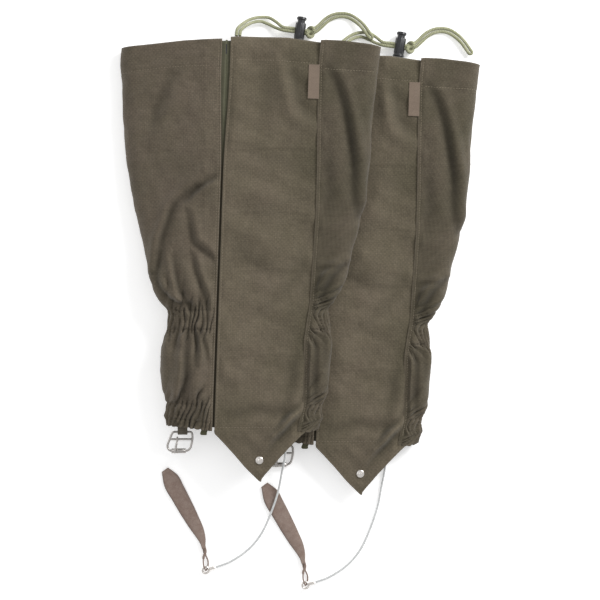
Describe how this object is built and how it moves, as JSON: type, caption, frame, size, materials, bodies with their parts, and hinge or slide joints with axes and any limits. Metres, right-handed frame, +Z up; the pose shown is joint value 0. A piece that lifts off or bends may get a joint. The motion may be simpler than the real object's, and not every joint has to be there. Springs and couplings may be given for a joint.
{
  "type": "gaiters",
  "caption": "pair of front-zip fabric leg gaiters with drawcord hem, gathered calf, pointed instep with lace hook, buckle, and cable with leather instep strap",
  "frame": {"origin": "middle of the pair's footprint without its cords, on the surface it lies on", "axes": "+X across both gaiters, +Y from the instep points to the calf openings, +Z up off the surface"},
  "size_m": [0.3768, 0.6057, 0.0391],
  "materials": {
    "calf_fabric": "matte woven softshell",
    "front_fabric": "matte woven softshell",
    "lining": "matte",
    "elastic": "matte ribbed",
    "zip_tape": "matte woven tape",
    "zip_coil": "satin",
    "nickel": "nickel plated, satin",
    "black_plastic": "moulded, satin",
    "spring_steel": "bright",
    "drawcord": "ribbed braid",
    "coated_cable": "clear coated",
    "leather": "suede",
    "label": "matte woven"
  },
  "bodies": {
    "right_gaiter": {"right_calf_panel": "calf_fabric", "right_front_panel": "front_fabric", "right_hem_facing": "lining", "right_drawcord_in_hem": "drawcord", "right_ankle_elastic": "elastic", "right_foot_elastic": "elastic", "right_label": "label", "right_zip_tape_calf": "zip_tape", "right_zip_tape_front": "zip_tape", "right_zip_coil": "zip_coil", "right_zip_top_box": "zip_coil", "right_buckle_loop": "elastic", "right_drawcord": "drawcord", "right_cable_anchor": "nickel", "right_cable": "coated_cable", "right_cable_fitting": "nickel"},
    "right_point": {"right_instep_point": "front_fabric", "right_point_facing": "lining", "right_lace_hook": "nickel", "right_hook_rivet": "nickel"},
    "right_slider": {"right_zip_slider": "nickel", "right_zip_pull": "zip_tape"},
    "right_buckle": {"right_buckle_frame": "nickel"},
    "right_roller": {"right_buckle_roller": "nickel"},
    "right_prong": {"right_buckle_prong": "nickel"},
    "right_lock": {"right_lock_barrel": "black_plastic", "right_lock_spring": "spring_steel"},
    "right_plunger": {"right_lock_plunger": "black_plastic"},
    "right_strap": {"right_leather_strap": "leather"},
    "left_gaiter": {"left_calf_panel": "calf_fabric", "left_front_panel": "front_fabric", "left_hem_facing": "lining", "left_drawcord_in_hem": "drawcord", "left_ankle_elastic": "elastic", "left_foot_elastic": "elastic", "left_label": "label", "left_zip_tape_calf": "zip_tape", "left_zip_tape_front": "zip_tape", "left_zip_coil": "zip_coil", "left_zip_top_box": "zip_coil", "left_buckle_loop": "elastic", "left_drawcord": "drawcord", "left_cable_anchor": "nickel", "left_cable": "coated_cable", "left_cable_fitting": "nickel"},
    "left_point": {"left_instep_point": "front_fabric", "left_point_facing": "lining", "left_lace_hook": "nickel", "left_hook_rivet": "nickel"},
    "left_slider": {"left_zip_slider": "nickel", "left_zip_pull": "zip_tape"},
    "left_buckle": {"left_buckle_frame": "nickel"},
    "left_roller": {"left_buckle_roller": "nickel"},
    "left_prong": {"left_buckle_prong": "nickel"},
    "left_lock": {"left_lock_barrel": "black_plastic", "left_lock_spring": "spring_steel"},
    "left_plunger": {"left_lock_plunger": "black_plastic"},
    "left_strap": {"left_leather_strap": "leather"}
  },
  "joints": [
    {"name": "left_gaiter_lift", "type": "slide", "parent": "right_gaiter", "child": "left_gaiter", "axis": [0, 0, 1], "range_m": [0, 0.2]},
    {"name": "right_point_fold", "type": "hinge", "parent": "right_gaiter", "child": "right_point", "pos_m": [0.06265, -0.1841, 0.018], "axis": [-1, 0, 0], "range_deg": [0, 60]},
    {"name": "right_zip_slide", "type": "slide", "parent": "right_gaiter", "child": "right_slider", "axis": [0.0342, 0.9994, 0], "range_m": [0, 0.36]},
    {"name": "right_buckle_swing", "type": "hinge", "parent": "right_gaiter", "child": "right_buckle", "pos_m": [-0.01795, -0.1875, 0.0031], "axis": [-1, 0, 0], "range_deg": [0, 12]},
    {"name": "right_roller_spin", "type": "hinge", "parent": "right_buckle", "child": "right_roller", "pos_m": [-0.02195, -0.2071, 0.0031], "axis": [1, 0, 0], "continuous": true},
    {"name": "right_prong_swing", "type": "hinge", "parent": "right_buckle", "child": "right_prong", "pos_m": [-0.02335, -0.1951, 0.0031], "axis": [-1, 0, 0], "range_deg": [0, 45]},
    {"name": "right_lock_slide", "type": "slide", "parent": "right_gaiter", "child": "right_lock", "axis": [-0.9889, 0.1483, 0], "range_m": [0, 0.009]},
    {"name": "right_lock_press", "type": "slide", "parent": "right_lock", "child": "right_plunger", "axis": [-0.1483, -0.9889, 0], "range_m": [0, 0.003], "stiffness_N_per_m": 600, "springref_m": -0.001},
    {"name": "right_strap_swivel", "type": "hinge", "parent": "right_gaiter", "child": "right_strap", "pos_m": [0.00535, -0.3335, 0.0033], "axis": [0, 0, 1], "range_deg": [-30, 0]},
    {"name": "left_point_fold", "type": "hinge", "parent": "left_gaiter", "child": "left_point", "pos_m": [-0.04185, -0.1683, 0.037], "axis": [-1, 0, 0], "range_deg": [0, 60]},
    {"name": "left_zip_slide", "type": "slide", "parent": "left_gaiter", "child": "left_slider", "axis": [0.0342, 0.9994, 0], "range_m": [0, 0.36]},
    {"name": "left_buckle_swing", "type": "hinge", "parent": "left_gaiter", "child": "left_buckle", "pos_m": [-0.12245, -0.1717, 0.01699], "axis": [-1, 0, 0], "range_deg": [0, 60]},
    {"name": "left_roller_spin", "type": "hinge", "parent": "left_buckle", "child": "left_roller", "pos_m": [-0.12645, -0.1913, 0.01699], "axis": [1, 0, 0], "continuous": true},
    {"name": "left_prong_swing", "type": "hinge", "parent": "left_buckle", "child": "left_prong", "pos_m": [-0.12785, -0.1793, 0.01699], "axis": [-1, 0, 0], "range_deg": [0, 45]},
    {"name": "left_lock_slide", "type": "slide", "parent": "left_gaiter", "child": "left_lock", "axis": [-0.9889, 0.1483, 0], "range_m": [0, 0.009]},
    {"name": "left_lock_press", "type": "slide", "parent": "left_lock", "child": "left_plunger", "axis": [-0.1483, -0.9889, 0], "range_m": [0, 0.003], "stiffness_N_per_m": 600, "springref_m": -0.001},
    {"name": "left_strap_swivel", "type": "hinge", "parent": "left_gaiter", "child": "left_strap", "pos_m": [-0.09915, -0.3177, 0.0033], "axis": [0, 0, 1], "range_deg": [-30, 40]}
  ]
}
